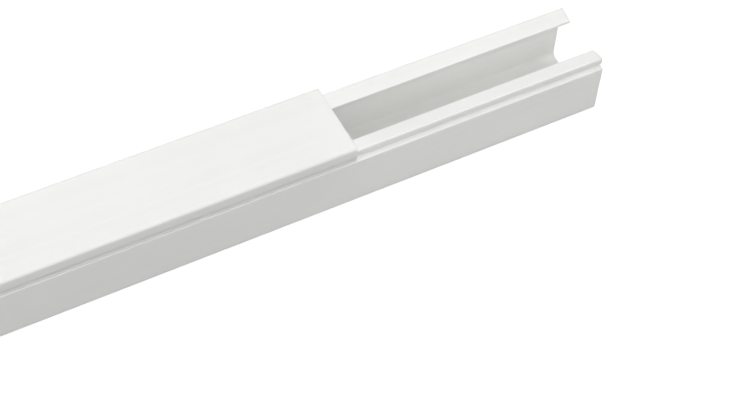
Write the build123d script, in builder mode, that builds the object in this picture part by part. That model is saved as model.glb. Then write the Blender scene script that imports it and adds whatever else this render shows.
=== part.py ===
"""Cord cover raceway: a two-piece snap-fit trunking of extruded PVC with an adhesive back.

Millimetres. +X runs along the stock towards the end where the channel shows open, +Y is the
far side wall and +Z points from the wall that the raceway sticks to, out through the cover.
The origin is the middle of the liner's outer face, under the middle of the base.
"""

import os

from build123d import *

# Length of the stock, and how far the cover is slid back from the open end
raceway_length = 400.0
cover_slid_back = 81.0

# Back: foam tape with its release liner still on
tape_width = 15.0
tape_thickness = 0.8
liner_thickness = 0.12

# Base: outer size and walls
base_width = 25.0
wall_thickness = 1.2
floor_thickness = 1.2
ledge_height = 18.9
shelf_thickness = 1.2
back_corner_radius = 2.8
floor_corner_radius = 2.0

# Base: snap rim above the ledge, and the groove under it
groove_height = 0.95
rim_depth = 2.45
rim_inset = 1.1
rim_overhang = 0.8
neck_thickness = 1.2

# Base: sloping lips that keep cords in, with the mouth between them
mouth_width = 12.7
lip_drop = 1.25
lip_thickness = 1.2

# Cover: plate, and legs with a shallow groove along their outside above the foot
cover_setback = 0.125
cover_thickness = 1.2
cover_headroom = 1.25
cover_edge_radius = 1.0
leg_straight = 3.7
grip_height = 1.3
grip_depth = 0.3
foot_setback = 0.05
barb_lead_in = 0.45

# Running clearances between cover and base
seat_clearance = 0.05
slide_clearance = 0.1
barb_clearance = 0.25

# Edge and corner radii left by the extrusion die
edge_radius = 0.25
corner_radius = 0.15
rim_radius = 0.4
lip_radius = 0.4
bend_radius = 0.5

# Heights above the liner's outer face
tape_z = liner_thickness
back_z = tape_z + tape_thickness
floor_z = back_z + floor_thickness
ledge_z = back_z + ledge_height
shelf_z = ledge_z - shelf_thickness
groove_z = ledge_z + groove_height
rim_z = groove_z + rim_depth
tip_z = rim_z - lip_drop
plate_z = rim_z + cover_headroom
cover_z = plate_z + cover_thickness
foot_z = ledge_z + seat_clearance
catch_z = groove_z - slide_clearance
barb_z = foot_z + barb_lead_in
brow_z = cover_z - leg_straight
grip_z = brow_z - grip_height

# Half widths out from the middle of the stock
wall_y = base_width / 2
inner_y = wall_y - wall_thickness
rim_y = wall_y - rim_inset
groove_y = rim_y - rim_overhang
neck_y = groove_y - neck_thickness
tip_y = mouth_width / 2
cover_y = wall_y - cover_setback
leg_y = rim_y + slide_clearance
grip_y = cover_y - grip_depth
foot_y = cover_y - foot_setback
barb_y = groove_y + barb_clearance

# The lip's underside runs parallel to its top, and meets the neck here
lip_slope = lip_drop / (rim_y - tip_y)
lip_root_z = tip_z - lip_thickness + lip_slope * (neck_y - tip_y)

# Planes of the ends that the extrusions start from
base_end = Plane.YZ.offset(-raceway_length / 2)
cover_end = Plane.YZ.offset(-raceway_length / 2 - cover_slid_back)


# Base channel: floor, side walls, ledges, snap rims and lips in one extrusion
with BuildPart() as base_channel:
    with BuildSketch(base_end):
        with BuildLine() as base_half:
            FilletPolyline(
                (0, back_z),
                (wall_y, back_z),
                (wall_y, ledge_z),
                (groove_y, ledge_z),
                (groove_y, groove_z),
                (rim_y, groove_z),
                (rim_y, rim_z),
                (tip_y, tip_z),
                (tip_y, tip_z - lip_thickness),
                (neck_y, lip_root_z),
                (neck_y, shelf_z),
                (inner_y, shelf_z),
                (inner_y, floor_z),
                (0, floor_z),
                radius=[
                    back_corner_radius,
                    edge_radius,
                    corner_radius,
                    corner_radius,
                    edge_radius,
                    rim_radius,
                    lip_radius,
                    lip_radius,
                    bend_radius,
                    bend_radius,
                    bend_radius,
                    floor_corner_radius,
                ],
            )
            mirror(base_half.line, about=Plane.YZ)
        make_face()
    extrude(amount=raceway_length)

# Snap cover: plate with two grooved legs, each with a foot on the ledge and a barb under the rim
with BuildPart() as snap_cover:
    with BuildSketch(cover_end):
        with BuildLine() as cover_half:
            FilletPolyline(
                (0, cover_z),
                (cover_y, cover_z),
                (cover_y, brow_z),
                (grip_y, grip_z),
                (foot_y, foot_z),
                (leg_y, foot_z),
                (barb_y, barb_z),
                (barb_y, catch_z),
                (leg_y, catch_z),
                (leg_y, plate_z),
                (0, plate_z),
                radius=[
                    cover_edge_radius,
                    bend_radius,
                    bend_radius,
                    corner_radius,
                    0,
                    0,
                    0,
                    0,
                    bend_radius,
                ],
            )
            mirror(cover_half.line, about=Plane.YZ)
        make_face()
    extrude(amount=raceway_length)

# Adhesive tape: one strip of foam along the middle of the base's back
with BuildPart() as adhesive_tape:
    with BuildSketch(Plane.XY.offset(tape_z)):
        Rectangle(raceway_length, tape_width)
    extrude(amount=tape_thickness)

# Release liner: paper over the tape's outer face, cut with it
with BuildPart() as release_liner:
    with BuildSketch(Plane.XY):
        Rectangle(raceway_length, tape_width)
    extrude(amount=liner_thickness)

base_channel.part.label = "base_channel"
snap_cover.part.label = "snap_cover"
adhesive_tape.part.label = "adhesive_tape"
release_liner.part.label = "release_liner"

os.makedirs("parts", exist_ok=True)
export_step(base_channel.part, "parts/base_channel.step")
export_step(snap_cover.part, "parts/snap_cover.step")
export_step(adhesive_tape.part, "parts/adhesive_tape.step")
export_step(release_liner.part, "parts/release_liner.step")
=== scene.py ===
"""Looks of a cord cover raceway: extruded PVC base and cover, foam tape and release liner.

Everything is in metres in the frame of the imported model: +X along the stock towards the end
where the channel shows open, +Y towards the far wall, +Z out of the surface it lies on.
"""

import logging
import math
from dataclasses import dataclass, field
from enum import Enum
from typing import Any

import bpy
import numpy as np
from mathutils import Matrix, Vector


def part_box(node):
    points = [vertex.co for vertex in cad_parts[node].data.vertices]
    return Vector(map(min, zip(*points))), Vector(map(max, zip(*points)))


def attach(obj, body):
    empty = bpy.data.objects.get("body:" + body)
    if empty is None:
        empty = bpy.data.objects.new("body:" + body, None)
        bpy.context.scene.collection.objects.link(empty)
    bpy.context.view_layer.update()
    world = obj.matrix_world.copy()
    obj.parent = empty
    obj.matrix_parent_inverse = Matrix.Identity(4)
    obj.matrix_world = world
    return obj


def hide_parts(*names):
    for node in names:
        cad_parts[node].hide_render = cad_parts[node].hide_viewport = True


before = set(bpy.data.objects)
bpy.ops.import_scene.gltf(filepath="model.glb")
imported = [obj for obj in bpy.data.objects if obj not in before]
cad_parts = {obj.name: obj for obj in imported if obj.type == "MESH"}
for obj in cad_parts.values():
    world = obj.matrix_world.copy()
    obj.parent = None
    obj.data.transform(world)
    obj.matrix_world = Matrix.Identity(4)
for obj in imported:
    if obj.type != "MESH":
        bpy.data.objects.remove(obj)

LOG = logging.getLogger("raceway")
MM = 0.001
WHITE = (1, 1, 1, 1)

# Numbers of a Mix node's sockets: its factor, its two numbers and their mix, its two colours and theirs
FACTOR = 0
NUMBER_A, NUMBER_B, NUMBER_MIX = 2, 3, 0
COLOUR_A, COLOUR_B, COLOUR_MIX = 6, 7, 2


class Node(Enum):
    """CAD nodes of the raceway."""

    BASE = "base_channel"
    COVER = "snap_cover"
    TAPE = "adhesive_tape"
    LINER = "release_liner"


class Body(Enum):
    """Rigid bodies that the pieces ride on."""

    BASE = "base"


class Slot(Enum):
    """Material slots of the record for the new pieces, which the pieces are not given."""

    TAPE = "foam_tape"
    LINER = "liner_paper"


def linear(code: str) -> tuple[float, float, float, float]:
    """Turn an sRGB hex colour into linear RGBA.

    It follows the sRGB standard's curve: a straight foot up to 0.04045, and a power of 2.4 above.

    Args:
        code: six hex digits with a leading number sign.

    Returns:
        Linear red, green and blue from 0 to 1, and an alpha of 1.
    """
    srgb = np.array([int(code[i:i + 2], 16) for i in (1, 3, 5)]) / 255
    rgb = np.where(srgb <= 0.04045, srgb / 12.92, ((srgb + 0.055) / 1.055) ** 2.4)
    return (*rgb.tolist(), 1.0)


def add_node(tree: bpy.types.NodeTree, kind: str, settings: dict[str | int, Any] | None = None,
             links: dict[str | int, bpy.types.NodeSocket] | None = None) -> bpy.types.Node:
    """Add a shader node with its settings and incoming links.

    Args:
        tree: node tree to add to.
        kind: Blender's type name of the node, without its ShaderNode prefix.
        settings: values by name: a property of the node, or else an input by name or number.
        links: sockets to link from, by the name or number of the input they go to.

    Returns:
        The new node.
    """
    node = tree.nodes.new("ShaderNode" + kind)
    for name, value in (settings or {}).items():
        if isinstance(name, str) and hasattr(node, name):
            setattr(node, name, value)
        else:
            node.inputs[name].default_value = value
    for name, socket in (links or {}).items():
        tree.links.new(socket, node.inputs[name])
    return node


def start_material(name: str, constants: dict[str, Any]
                   ) -> tuple[bpy.types.Material, bpy.types.Node, bpy.types.Node]:
    """Make a material with its surface shader and texture coordinates.

    Args:
        name: name of the real material.
        constants: values of the shader's inputs that are the same all over the surface.

    Returns:
        The material, its surface shader node and its coordinate node.
    """
    material = bpy.data.materials.new(name)
    material.use_nodes = True
    tree = material.node_tree
    tree.nodes.clear()
    shader = add_node(tree, "BsdfPrincipled", constants)
    add_node(tree, "OutputMaterial", links={"Surface": shader.outputs["BSDF"]})
    coordinates = add_node(tree, "TexCoord")
    return material, shader, coordinates


def stretched(*sizes: float) -> tuple[float, ...]:
    """Scale of a pattern whose features have these sizes in metres along X, Y and Z."""
    return tuple(1 / size for size in sizes)


@dataclass(frozen=True)
class ExtrudedPvc:
    """Rigid PVC pushed through a steel die and sawn to length.

    To the eye it is a satin near-white, a little translucent, so that light soaks into thin walls
    and edges and softens their shade. The die leaves faint lines that run the whole length,
    cooling leaves it slightly cloudy, and the saw leaves the ends duller, with fine bands.
    """

    name: str = "rigid_PVC_extruded"
    pale: str = "#F4F4F2"
    deep: str = "#F0F0ED"
    sawn: str = "#E8E8E3"
    ior: float = 1.53
    # Mean distance that light soaks in before it comes out again, the same for all colours
    soak: float = 1.0 * MM
    soak_weight: float = 1.0
    soak_colours: tuple[float, float, float] = (1, 1, 1)
    satin_roughness: tuple[float, float] = (0.41, 0.50)
    sawn_roughness: float = 0.66
    # A face counts as sawn where its normal lies at least this far along the stock
    sawn_facing: float = 0.7
    # Die lines are 0.1 to 0.3 mm apart, drawn coarser here so that they show at all
    line_gap: float = 0.9 * MM
    line_run: float = 300 * MM
    line_depth: float = 0.004 * MM
    line_detail: float = 3.0
    line_grain: float = 0.6
    # Strengths of the die lines between which the roughness goes from its one end to the other
    line_span: tuple[float, float] = (0.3, 0.7)
    cloud: float = 22 * MM
    cloud_detail: float = 2.0
    # Strengths of lines times clouds between which the colour goes from pale to deep
    shade_span: tuple[float, float] = (0.12, 0.42)
    # Saw bands are as wide as the feed of one tooth, some 0.1 mm, drawn coarser so that they show
    saw_gap: float = 0.55 * MM
    saw_run: float = 12 * MM
    saw_depth: float = 0.02 * MM
    saw_lean: float = math.radians(28)
    saw_detail: float = 4.0
    saw_grain: float = 0.65

    def material(self) -> bpy.types.Material:
        """Build the material's nodes.

        Returns:
            The finished material.
        """
        material, shader, coordinates = start_material(self.name, {
            "IOR": self.ior, "Subsurface Weight": self.soak_weight,
            "Subsurface Radius": self.soak_colours, "Subsurface Scale": self.soak})
        tree = material.node_tree
        place = coordinates.outputs["Object"]
        along = add_node(tree, "Mapping", {
            "Scale": stretched(self.line_run, self.line_gap, self.line_gap)}, {"Vector": place})
        lines = add_node(tree, "TexNoise", {"Scale": 1.0, "Detail": self.line_detail,
                                            "Roughness": self.line_grain},
                         {"Vector": along.outputs[0]})
        cloud = add_node(tree, "TexNoise", {"Scale": 1 / self.cloud, "Detail": self.cloud_detail},
                         {"Vector": place})
        shade = add_node(tree, "Math", {"operation": "MULTIPLY"},
                         {0: lines.outputs["Fac"], 1: cloud.outputs["Fac"]})
        drawn = add_node(tree, "MapRange", {"From Min": self.shade_span[0],
                                            "From Max": self.shade_span[1]},
                         {"Value": shade.outputs[0]})
        skin = add_node(tree, "Mix", {"data_type": "RGBA", COLOUR_A: linear(self.pale),
                                      COLOUR_B: linear(self.deep)},
                        {FACTOR: drawn.outputs["Result"]})
        satin = add_node(tree, "MapRange", {"From Min": self.line_span[0],
                                            "From Max": self.line_span[1],
                                            "To Min": self.satin_roughness[0],
                                            "To Max": self.satin_roughness[1]},
                         {"Value": lines.outputs["Fac"]})
        facing = add_node(tree, "SeparateXYZ", links={0: coordinates.outputs["Normal"]})
        lengthwise = add_node(tree, "Math", {"operation": "ABSOLUTE"}, {0: facing.outputs["X"]})
        end = add_node(tree, "Math", {"operation": "GREATER_THAN", 1: self.sawn_facing},
                       {0: lengthwise.outputs[0]})
        across = add_node(tree, "Mapping", {
            "Rotation": (self.saw_lean, 0, 0),
            "Scale": stretched(self.line_run, self.saw_gap, self.saw_run)}, {"Vector": place})
        bands = add_node(tree, "TexNoise", {"Scale": 1.0, "Detail": self.saw_detail,
                                            "Roughness": self.saw_grain},
                         {"Vector": across.outputs[0]})
        shallow = add_node(tree, "Math", {"operation": "MULTIPLY",
                                          1: self.line_depth / self.saw_depth},
                           {0: lines.outputs["Fac"]})
        relief = add_node(tree, "Mix", links={FACTOR: end.outputs[0], NUMBER_A: shallow.outputs[0],
                                              NUMBER_B: bands.outputs["Fac"]})
        colour = add_node(tree, "Mix", {"data_type": "RGBA", COLOUR_B: linear(self.sawn)},
                          {FACTOR: end.outputs[0], COLOUR_A: skin.outputs[COLOUR_MIX]})
        rough = add_node(tree, "Mix", {NUMBER_B: self.sawn_roughness},
                         {FACTOR: end.outputs[0], NUMBER_A: satin.outputs["Result"]})
        bump = add_node(tree, "Bump", {"Distance": self.saw_depth},
                        {"Height": relief.outputs[NUMBER_MIX]})
        tree.links.new(colour.outputs[COLOUR_MIX], shader.inputs["Base Color"])
        tree.links.new(rough.outputs[NUMBER_MIX], shader.inputs["Roughness"])
        tree.links.new(bump.outputs["Normal"], shader.inputs["Normal"])
        return material


@dataclass(frozen=True)
class FoamTape:
    """Closed-cell polyethylene foam, coated with adhesive and slit into tape.

    To the eye it is a dull off-white sponge: round cells with thin walls, cut open at the edges.
    The middles of the cut cells are painted darker, as the shade that falls in their hollows.
    """

    name: str = "polyethylene_foam"
    wall: str = "#D5D6CB"
    # Darker colour painted into the cell middles as the shade in their hollows
    hollow_shade: str = "#B9BAAC"
    ior: float = 1.5
    roughness: float = 0.85
    # Real cells are about 0.2 mm wide, drawn coarser so that they show
    cell: float = 0.35 * MM
    cell_depth: float = 0.08 * MM
    # Distances from a cell's middle, in cells, between which the painted hollow shade turns into wall
    cell_span: tuple[float, float] = (0.15, 0.6)

    def material(self) -> bpy.types.Material:
        """Build the material's nodes.

        Returns:
            The finished material.
        """
        material, shader, coordinates = start_material(self.name, {
            "IOR": self.ior, "Roughness": self.roughness})
        tree = material.node_tree
        cells = add_node(tree, "TexVoronoi", {"Scale": 1 / self.cell},
                         {"Vector": coordinates.outputs["Object"]})
        depth = add_node(tree, "MapRange", {"From Min": self.cell_span[0],
                                            "From Max": self.cell_span[1]},
                         {"Value": cells.outputs["Distance"]})
        # Painted shade: the cell middles take the darker hollow colour, the rims the wall colour
        colour = add_node(tree, "Mix", {"data_type": "RGBA", COLOUR_A: linear(self.hollow_shade),
                                        COLOUR_B: linear(self.wall)},
                          {FACTOR: depth.outputs["Result"]})
        bump = add_node(tree, "Bump", {"Distance": self.cell_depth},
                        {"Height": depth.outputs["Result"]})
        tree.links.new(colour.outputs[COLOUR_MIX], shader.inputs["Base Color"])
        tree.links.new(bump.outputs["Normal"], shader.inputs["Normal"])
        return material


@dataclass(frozen=True)
class ReleasePaper:
    """Glassine paper, dyed ochre, calendered smooth and coated with silicone.

    To the eye it is a warm yellow-brown with a soft sheen, cloudy where the pulp lies thicker,
    and faintly streaked by the fibres along the roll.
    """

    name: str = "glassine_release_paper"
    pale: str = "#CDBB6C"
    deep: str = "#B89F4E"
    ior: float = 1.47
    sheen_range: tuple[float, float] = (0.33, 0.45)
    cloud: float = 3 * MM
    cloud_detail: float = 4.0
    # Paper fibres are about 0.03 mm thick, drawn coarser so that they show
    fibre_gap: float = 0.3 * MM
    fibre_run: float = 5 * MM
    fibre_depth: float = 0.006 * MM
    fibre_detail: float = 2.0
    # How much the fibres count beside the clouds, and the sums between which deep turns pale
    fibre_share: float = 0.45
    pulp_span: tuple[float, float] = (0.5, 0.95)

    def material(self) -> bpy.types.Material:
        """Build the material's nodes.

        Returns:
            The finished material.
        """
        material, shader, coordinates = start_material(self.name, {"IOR": self.ior})
        tree = material.node_tree
        place = coordinates.outputs["Object"]
        along = add_node(tree, "Mapping", {
            "Scale": stretched(self.fibre_run, self.fibre_gap, self.fibre_gap)}, {"Vector": place})
        fibres = add_node(tree, "TexNoise", {"Scale": 1.0, "Detail": self.fibre_detail},
                          {"Vector": along.outputs[0]})
        cloud = add_node(tree, "TexNoise", {"Scale": 1 / self.cloud, "Detail": self.cloud_detail},
                         {"Vector": place})
        pulp = add_node(tree, "Math", {"operation": "MULTIPLY_ADD", 1: self.fibre_share},
                        {0: fibres.outputs["Fac"], 2: cloud.outputs["Fac"]})
        drawn = add_node(tree, "MapRange", {"From Min": self.pulp_span[0],
                                            "From Max": self.pulp_span[1]},
                         {"Value": pulp.outputs[0]})
        colour = add_node(tree, "Mix", {"data_type": "RGBA", COLOUR_A: linear(self.deep),
                                        COLOUR_B: linear(self.pale)},
                          {FACTOR: drawn.outputs["Result"]})
        sheen = add_node(tree, "MapRange", {"To Min": self.sheen_range[0],
                                            "To Max": self.sheen_range[1]},
                         {"Value": cloud.outputs["Fac"]})
        bump = add_node(tree, "Bump", {"Distance": self.fibre_depth},
                        {"Height": fibres.outputs["Fac"]})
        tree.links.new(colour.outputs[COLOUR_MIX], shader.inputs["Base Color"])
        tree.links.new(sheen.outputs["Result"], shader.inputs["Roughness"])
        tree.links.new(bump.outputs["Normal"], shader.inputs["Normal"])
        return material


@dataclass(frozen=True)
class SweepPaper:
    """White background paper, lit until it is almost burnt out."""

    name: str = "white_sweep_paper"
    colour: str = "#898989"
    glow: float = 0.86
    roughness: float = 0.95
    gloss: float = 0.0

    def material(self) -> bpy.types.Material:
        """Build the material's nodes.

        Returns:
            The finished material.
        """
        return start_material(self.name, {
            "Base Color": linear(self.colour), "Roughness": self.roughness,
            "Specular IOR Level": self.gloss, "Emission Color": WHITE,
            "Emission Strength": self.glow})[0]


@dataclass
class Extrusions:
    """Base and cover, whose CAD meshes stay and get the PVC finish."""

    finish: ExtrudedPvc = field(default_factory=ExtrudedPvc)

    def dress(self) -> None:
        """Put the PVC finish into the slots of both nodes."""
        material = self.finish.material()
        for node in (Node.BASE, Node.COVER):
            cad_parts[node.value].data.materials[0] = material
            LOG.info("%s dressed in %s", node.value, material.name)


@dataclass
class BackStrip:
    """A strip slit from a wide roll, along the raceway's back, inside the box of its CAD node."""

    name: str
    node: Node
    slot: Slot
    finish: FoamTape | ReleasePaper
    seed: int
    wander: float = 0.1 * MM
    waist: float = 0.0
    waves: tuple[float, ...] = (23 * MM, 41 * MM, 97 * MM)
    # Numbers of points along the strip, across it and up its sides
    stations: int = 161
    across: int = 7
    rows: int = 5

    def slit_edge(self, along: np.ndarray, rng: np.random.Generator) -> np.ndarray:
        """Work out how far a slit edge lies inside the box at each station.

        It is the mean of sines of the given wave lengths, each with a random phase, moved and
        scaled from the range -1 to 1 to the range 0 to the wander.

        Args:
            along: places along the strip in metres.
            rng: source of the phases.

        Returns:
            Inset at each place in metres.
        """
        phases = rng.uniform(0, 2 * np.pi, len(self.waves))
        turns = 2 * np.pi * along[:, None] / np.array(self.waves) + phases
        return self.wander * (1 + np.sin(turns).mean(axis=1)) / 2

    def surface(self) -> np.ndarray:
        """Carry the strip's section along its length.

        The section is a loop: outer face, one side, inner face, other side. A point at share s of
        the width lies between both slit edges by s, and a side at share t of the thickness is
        drawn in by the waist times 1 - (2t - 1) squared.

        Returns:
            Points by station, place in the loop and axis.
        """
        low, high = (np.array(corner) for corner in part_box(self.node.value))
        rng = np.random.default_rng(self.seed)
        along = np.linspace(low[0], high[0], self.stations)
        right = low[1] + self.slit_edge(along, rng)
        left = high[1] - self.slit_edge(along, rng)
        share = np.linspace(0, 1, self.across)
        rise = np.linspace(0, 1, self.rows)[1:-1]
        width_share = np.concatenate([share, np.ones_like(rise), share[::-1], np.zeros_like(rise)])
        height_share = np.concatenate([np.zeros_like(share), rise, np.ones_like(share),
                                       rise[::-1]])
        pull = self.waist * (1 - (2 * height_share - 1) ** 2) * (1 - 2 * width_share)
        y = right[:, None] + (left - right)[:, None] * width_share + pull
        x = np.broadcast_to(along[:, None], y.shape)
        z = np.broadcast_to(low[2] + (high[2] - low[2]) * height_share, y.shape)
        return np.stack([x, y, z], axis=-1)

    def build(self) -> bpy.types.Object:
        """Make the strip's closed mesh, dress it and let it ride with the base.

        Returns:
            The finished piece.
        """
        points = self.surface()
        stations, ring = points.shape[:2]
        index = np.arange(stations * ring).reshape(stations, ring)
        after = np.roll(index, -1, axis=1)
        skin = np.stack([index[:-1], after[:-1], after[1:], index[1:]], axis=-1).reshape(-1, 4)
        ends = [index[0, ::-1].tolist(), index[-1].tolist()]
        mesh = bpy.data.meshes.new(self.name)
        mesh.from_pydata(points.reshape(-1, 3).tolist(), [], skin.tolist() + ends)
        mesh.materials.append(self.finish.material())
        strip = bpy.data.objects.new(self.name, mesh)
        bpy.context.scene.collection.objects.link(strip)
        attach(strip, Body.BASE.value)
        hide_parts(self.node.value)
        LOG.info("%s: %d faces in %s", strip.name, len(mesh.polygons), self.finish.name)
        return strip


@dataclass
class StickyBack:
    """Foam tape along the base's back, with the release liner still on it."""

    liner_width: float = 15 * MM
    liner_length: float = 400 * MM
    tape_fill: float = 1.0
    tape: BackStrip = field(default_factory=lambda: BackStrip(
        "foam_tape", Node.TAPE, Slot.TAPE, FoamTape(), seed=11, waist=0.12 * MM))
    liner: BackStrip = field(default_factory=lambda: BackStrip(
        "liner_paper", Node.LINER, Slot.LINER, ReleasePaper(), seed=23, rows=2))

    def build(self) -> None:
        """Lay the tape and its liner."""
        tape = self.tape.build()
        liner = self.liner.build()


@dataclass
class Softbox:
    """A rectangular soft light that faces the raceway."""

    name: str
    elevation: float
    bearing: float
    energy: float
    width: float = 1.0
    depth: float = 1.0
    aim: tuple[float, float, float] = (0.12, 0.0, 0.0)
    distance: float = 2.0

    def hang(self) -> None:
        """Hang the light at its elevation and bearing, a bearing of 0 being towards -Y."""
        lamp = bpy.data.lights.new(self.name, "AREA")
        lamp.shape = "RECTANGLE"
        lamp.size = self.width
        lamp.size_y = self.depth
        lamp.energy = self.energy
        box = bpy.data.objects.new(self.name, lamp)
        level = math.cos(self.elevation)
        away = Vector((math.sin(self.bearing) * level, -math.cos(self.bearing) * level,
                       math.sin(self.elevation)))
        place = Vector(self.aim) + self.distance * away
        turn = away.to_track_quat("Z", "Y").to_matrix().to_4x4()
        box.matrix_world = Matrix.Translation(place) @ turn
        bpy.context.scene.collection.objects.link(box)
        LOG.info("%s hung", self.name)


@dataclass
class Studio:
    """Paper sweep, soft light and the camera at the photograph's viewing angle."""

    floor_radius: float = 3.4
    cove_radius: float = 0.8
    wall_height: float = 3.2
    cove_points: int = 9
    sides: int = 96
    paper: SweepPaper = field(default_factory=SweepPaper)
    dome: float = 0.16
    bounce: float = 0.27
    lights: tuple[Softbox, ...] = (
        Softbox("key_softbox", elevation=math.radians(45), bearing=0.0, energy=13.2),
        Softbox("high_softbox", elevation=math.radians(58), bearing=0.0, energy=4.5),
        Softbox("side_softbox", elevation=math.radians(32), bearing=math.radians(60), energy=5.8),
        Softbox("back_softbox", elevation=math.radians(45), bearing=math.pi, energy=12.1),
        # A strip along the stock, narrow across it, so that the rim hides little of it from the ledge
        Softbox("overhead_strip", elevation=math.radians(85), bearing=0.0, energy=10.4,
                width=2.0, depth=0.6),
    )
    camera_place: tuple[float, float, float] = (-32.20 * MM, -273.97 * MM, 393.06 * MM)
    camera_aim: tuple[float, float, float] = (115.75 * MM, -29.20 * MM, 21.4 * MM)
    camera_roll: float = math.radians(4.28)
    lens: float = 82.96
    sensor_width: float = 36.0

    def sweep(self) -> None:
        """Lay the floor with its cove and wall.

        The profile is a flat disc's rim, a quarter circle and an upright, carried round the
        upright axis. It shows and mirrors, but neither blocks nor bounces the soft light.
        """
        bend = np.linspace(0, np.pi / 2, self.cove_points)
        radius = np.append(self.floor_radius + self.cove_radius * np.sin(bend),
                           self.floor_radius + self.cove_radius)
        height = np.append(self.cove_radius * (1 - np.cos(bend)), self.wall_height)
        turn = np.linspace(0, 2 * np.pi, self.sides, endpoint=False)
        x = radius[:, None] * np.cos(turn)
        y = radius[:, None] * np.sin(turn)
        z = np.broadcast_to(height[:, None], x.shape)
        index = np.arange(x.size).reshape(x.shape)
        after = np.roll(index, -1, axis=1)
        skin = np.stack([index[:-1], after[:-1], after[1:], index[1:]], axis=-1).reshape(-1, 4)
        mesh = bpy.data.meshes.new("sweep")
        mesh.from_pydata(np.stack([x, y, z], axis=-1).reshape(-1, 3).tolist(), [],
                         [index[0].tolist()] + skin[:, ::-1].tolist())
        mesh.materials.append(self.paper.material())
        floor = bpy.data.objects.new("sweep", mesh)
        floor.visible_diffuse = False
        floor.visible_shadow = False
        bpy.context.scene.collection.objects.link(floor)

    def light(self) -> None:
        """Light the surround above the floor and, as the paper's bounce, below it; hang the lights."""
        world = bpy.data.worlds.new("surround")
        bpy.context.scene.world = world
        world.use_nodes = True
        tree = world.node_tree
        direction = add_node(tree, "TexCoord")
        up = add_node(tree, "SeparateXYZ", links={0: direction.outputs["Generated"]})
        above = add_node(tree, "Math", {"operation": "GREATER_THAN", 1: 0.0}, {0: up.outputs["Z"]})
        level = add_node(tree, "MapRange", {"To Min": self.bounce, "To Max": self.dome},
                         {"Value": above.outputs[0]})
        background = tree.nodes["Background"]
        background.inputs["Color"].default_value = WHITE
        tree.links.new(level.outputs[0], background.inputs["Strength"])
        for softbox in self.lights:
            softbox.hang()
        bpy.context.scene.view_settings.view_transform = "Standard"

    def camera(self) -> None:
        """Stand the camera where the photograph was taken from."""
        data = bpy.data.cameras.new("photo_camera")
        data.lens = self.lens
        data.sensor_width = self.sensor_width
        camera = bpy.data.objects.new("photo_camera", data)
        place = Vector(self.camera_place)
        look = (Vector(self.camera_aim) - place).to_track_quat("-Z", "Y").to_matrix().to_4x4()
        roll = Matrix.Rotation(self.camera_roll, 4, "Z")
        camera.matrix_world = Matrix.Translation(place) @ look @ roll
        bpy.context.scene.collection.objects.link(camera)
        bpy.context.scene.camera = camera


def main() -> None:
    """Dress the raceway and build its studio."""
    logging.basicConfig(level=logging.INFO, format="%(name)s: %(message)s")
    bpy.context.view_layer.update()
    Extrusions().dress()
    StickyBack().build()
    studio = Studio()
    studio.sweep()
    studio.light()
    studio.camera()


if __name__ == "__main__":
    main()
